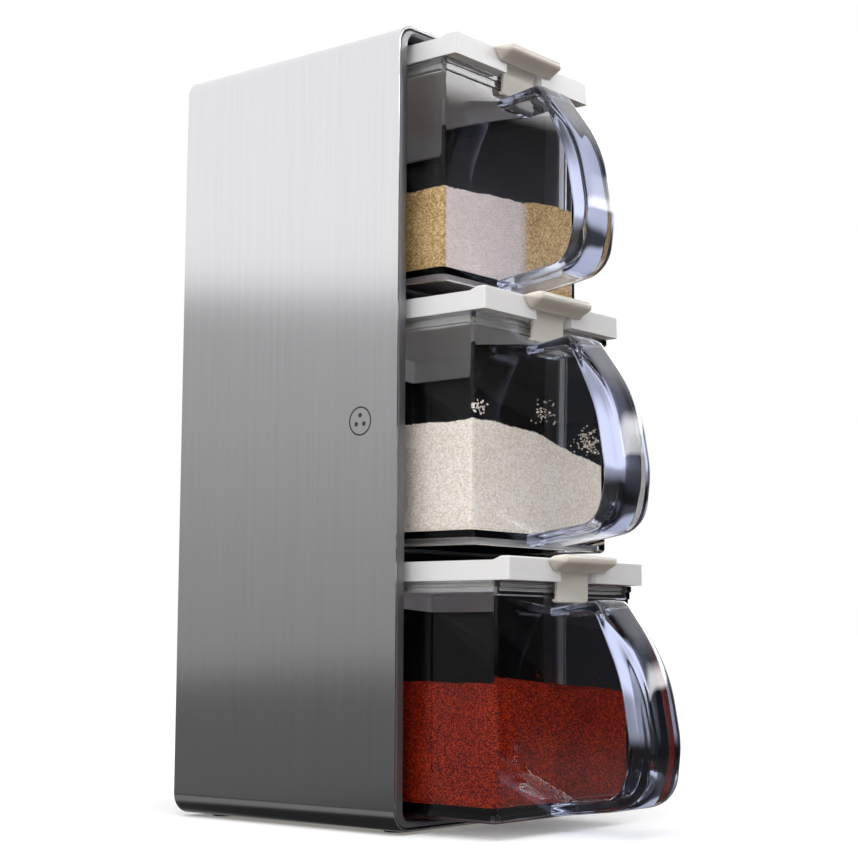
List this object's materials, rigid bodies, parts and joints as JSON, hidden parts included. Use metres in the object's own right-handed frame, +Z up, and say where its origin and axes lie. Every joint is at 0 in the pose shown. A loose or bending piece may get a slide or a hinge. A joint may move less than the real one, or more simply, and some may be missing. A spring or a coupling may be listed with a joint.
{
  "type": "seasoning box rack",
  "caption": "Tall steel sleeve rack with pull-out clear seasoning boxes, each with a hinged white lid, latch lever and clear D handle.",
  "frame": {"origin": "on the ground under the middle of the steel sleeve, on its left-right symmetry plane", "axes": "+Z up, the open front faces -Y, +X to the right of someone behind the rack looking along +Y"},
  "size_m": [0.108, 0.1943, 0.3012],
  "materials": {
    "brushed_steel": "vertically brushed",
    "rim_grey": "satin",
    "black_plastic": "satin",
    "screw_steel": "bright",
    "pin_steel": "bright",
    "foot_rubber": "matte",
    "clear_plastic": "clear moulded",
    "white_plastic": "satin gloss",
    "latch_plastic": "satin gloss, slightly translucent",
    "silicone": "milky",
    "golden_granules": "fine granules",
    "white_crystals": "fine crystals",
    "chili_powder": "fine powder"
  },
  "bodies": {
    "rack": {"sleeve": "brushed_steel", "front_rim": "rim_grey", "left_lining": "black_plastic", "right_lining": "black_plastic", "ceiling_lining": "black_plastic", "floor_lining": "black_plastic", "upper_shelf": "black_plastic", "lower_shelf": "black_plastic", "back_panel": "black_plastic", "back_screws": "screw_steel", "foot_pads": "foot_rubber"},
    "top_box": {"top_tub": "clear_plastic", "top_handle": "clear_plastic", "top_hinge_pin": "pin_steel", "top_seasoning": "golden_granules"},
    "top_cover": {"top_lid": "white_plastic", "top_lid_seal": "silicone", "top_latch_pin": "pin_steel"},
    "top_lever": {"top_latch": "latch_plastic"},
    "middle_box": {"middle_tub": "clear_plastic", "middle_handle": "clear_plastic", "middle_hinge_pin": "pin_steel", "middle_seasoning": "white_crystals"},
    "middle_cover": {"middle_lid": "white_plastic", "middle_lid_seal": "silicone", "middle_latch_pin": "pin_steel"},
    "middle_lever": {"middle_latch": "latch_plastic"},
    "bottom_box": {"bottom_tub": "clear_plastic", "bottom_handle": "clear_plastic", "bottom_hinge_pin": "pin_steel", "bottom_seasoning": "chili_powder"},
    "bottom_cover": {"bottom_lid": "white_plastic", "bottom_lid_seal": "silicone", "bottom_latch_pin": "pin_steel"},
    "bottom_lever": {"bottom_latch": "latch_plastic"}
  },
  "joints": [
    {"name": "top_box_slide", "type": "slide", "parent": "rack", "child": "top_box", "axis": [0, -1, 0], "range_m": [-0.0183, 0.1]},
    {"name": "top_lid_hinge", "type": "hinge", "parent": "top_box", "child": "top_cover", "pos_m": [0, 0.0331, 0.28863], "axis": [-1, 0, 0], "range_deg": [0, 0.6]},
    {"name": "top_latch_pivot", "type": "hinge", "parent": "top_cover", "child": "top_lever", "pos_m": [0, -0.0725, 0.29323], "axis": [-1, 0, 0], "range_deg": [0, 9]},
    {"name": "middle_box_slide", "type": "slide", "parent": "rack", "child": "middle_box", "axis": [0, -1, 0], "range_m": [-0.0323, 0.1]},
    {"name": "middle_lid_hinge", "type": "hinge", "parent": "middle_box", "child": "middle_cover", "pos_m": [0, 0.0191, 0.19029], "axis": [-1, 0, 0], "range_deg": [0, 0.6]},
    {"name": "middle_latch_pivot", "type": "hinge", "parent": "middle_cover", "child": "middle_lever", "pos_m": [0, -0.0865, 0.19489], "axis": [-1, 0, 0], "range_deg": [0, 9]},
    {"name": "bottom_box_slide", "type": "slide", "parent": "rack", "child": "bottom_box", "axis": [0, -1, 0], "range_m": [-0.0431, 0.1]},
    {"name": "bottom_lid_hinge", "type": "hinge", "parent": "bottom_box", "child": "bottom_cover", "pos_m": [0, 0.0083, 0.09195], "axis": [-1, 0, 0], "range_deg": [0, 0.6]},
    {"name": "bottom_latch_pivot", "type": "hinge", "parent": "bottom_cover", "child": "bottom_lever", "pos_m": [0, -0.0973, 0.09655], "axis": [-1, 0, 0], "range_deg": [0, 9]}
  ]
}
